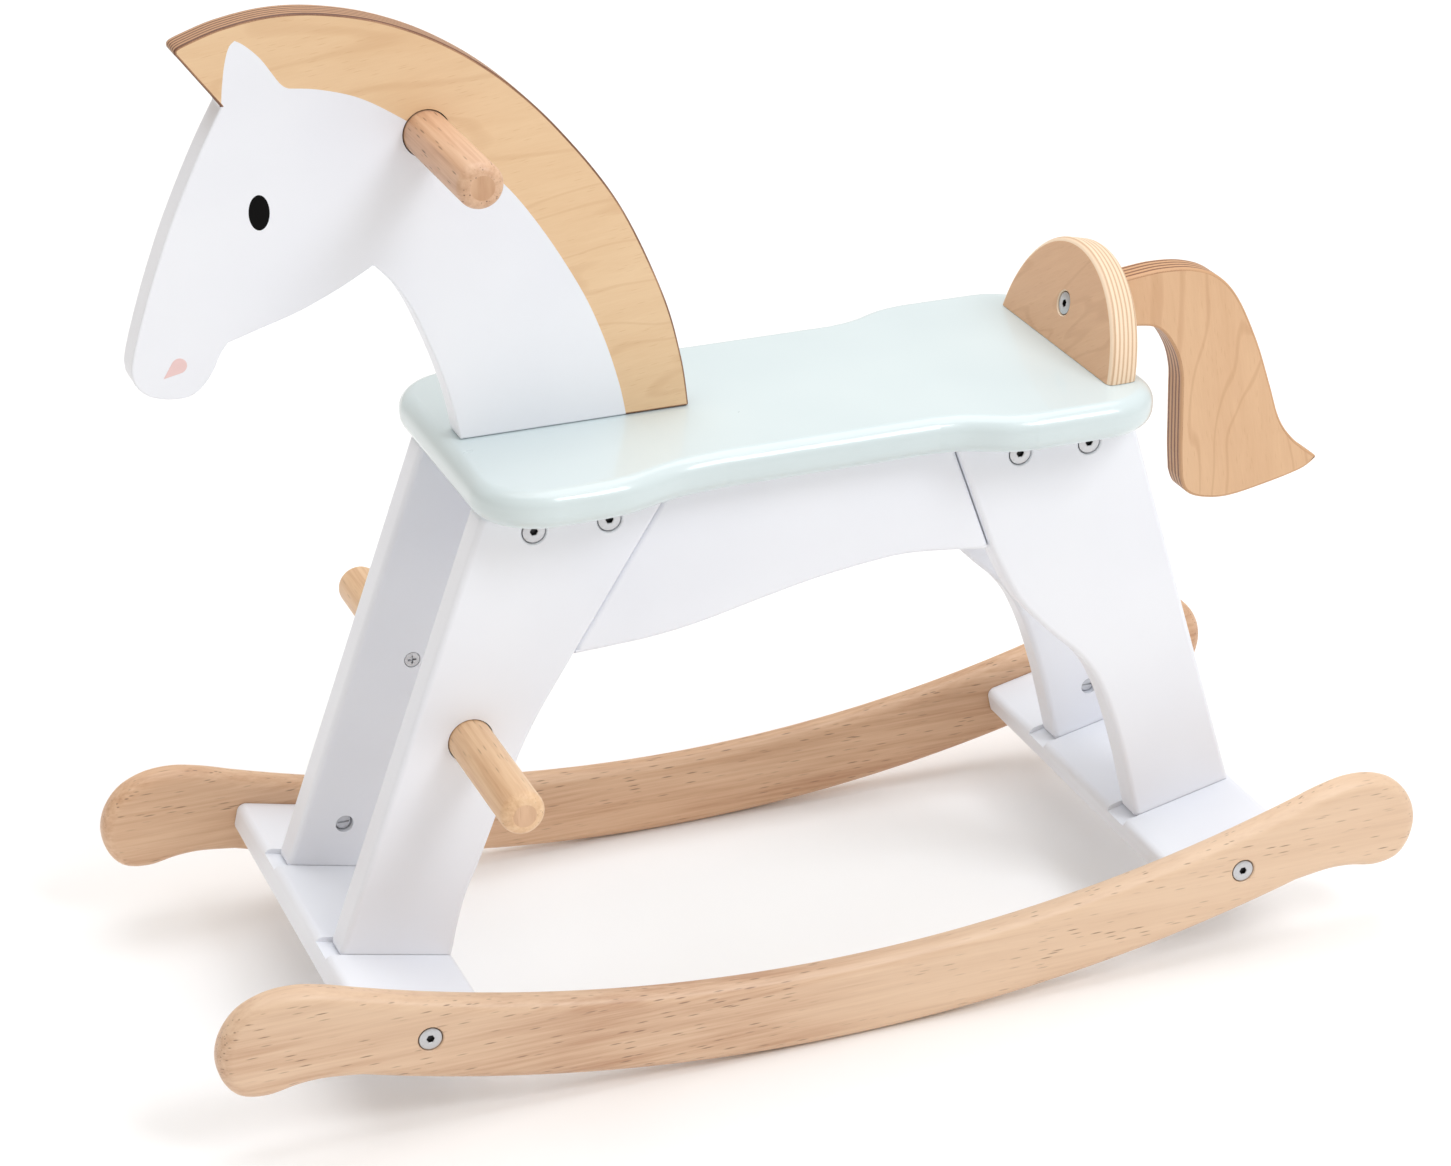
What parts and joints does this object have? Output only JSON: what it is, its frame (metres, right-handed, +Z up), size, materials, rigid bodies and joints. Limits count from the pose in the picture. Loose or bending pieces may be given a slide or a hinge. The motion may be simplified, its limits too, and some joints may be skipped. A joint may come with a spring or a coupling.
{
  "type": "rocking horse",
  "caption": "Toddler's wooden rocking horse with a plywood head, pale painted seat, small backrest with a tail, rod handle and foot rests, and bowed timber rockers.",
  "frame": {"origin": "floor level under the middle of the horse, halfway between the rocker tips and the two rockers", "axes": "+X toward the tail, +Y toward the horse's right side, +Z up"},
  "size_m": [0.726, 0.312, 0.5899],
  "materials": {
    "white_paint": "satin white paint on plywood, bare birch veneer on the mane",
    "seat_paint": "glossy pale mint paint on a thick board",
    "plywood": "clear satin varnish on birch plywood with dark edge plies",
    "rubberwood": "clear satin varnish on solid rubberwood",
    "zinc_steel": "zinc plated"
  },
  "bodies": {
    "root": {"apron_far": "white_paint", "apron_near": "white_paint", "backrest": "plywood", "backrest_screw_1": "zinc_steel", "backrest_screw_2": "zinc_steel", "base_plank_front": "white_paint", "base_plank_rear": "white_paint", "bolt_foot_front_far": "zinc_steel", "bolt_foot_front_near": "zinc_steel", "bolt_foot_rear_far": "zinc_steel", "bolt_foot_rear_near": "zinc_steel", "bolt_leg_front_far_a": "zinc_steel", "bolt_leg_front_far_b": "zinc_steel", "bolt_leg_front_near_a": "zinc_steel", "bolt_leg_front_near_b": "zinc_steel", "bolt_leg_rear_far_a": "zinc_steel", "bolt_leg_rear_far_b": "zinc_steel", "bolt_leg_rear_near_a": "zinc_steel", "bolt_leg_rear_near_b": "zinc_steel", "bolt_rocker_front_far": "zinc_steel", "bolt_rocker_front_near": "zinc_steel", "bolt_rocker_rear_far": "zinc_steel", "bolt_rocker_rear_near": "zinc_steel", "crossbar_front": "white_paint", "crossbar_rear": "white_paint", "footrest_far": "rubberwood", "footrest_near": "rubberwood", "footrest_screw_far": "zinc_steel", "footrest_screw_near": "zinc_steel", "handle_dowel": "rubberwood", "head_board": "white_paint", "head_screw_1": "zinc_steel", "head_screw_2": "zinc_steel", "leg_front_far": "white_paint", "leg_front_near": "white_paint", "leg_rear_far": "white_paint", "leg_rear_near": "white_paint", "nut_foot_front_far": "zinc_steel", "nut_foot_front_near": "zinc_steel", "nut_foot_rear_far": "zinc_steel", "nut_foot_rear_near": "zinc_steel", "nut_leg_front_far_a": "zinc_steel", "nut_leg_front_far_b": "zinc_steel", "nut_leg_front_near_a": "zinc_steel", "nut_leg_front_near_b": "zinc_steel", "nut_leg_rear_far_a": "zinc_steel", "nut_leg_rear_far_b": "zinc_steel", "nut_leg_rear_near_a": "zinc_steel", "nut_leg_rear_near_b": "zinc_steel", "nut_rocker_front_far": "zinc_steel", "nut_rocker_front_near": "zinc_steel", "nut_rocker_rear_far": "zinc_steel", "nut_rocker_rear_near": "zinc_steel", "rocker_far": "rubberwood", "rocker_near": "rubberwood", "seat": "seat_paint", "seat_screw": "zinc_steel", "tail": "plywood", "tail_bolt": "zinc_steel", "tail_insert": "zinc_steel"}
  },
  "joints": []
}
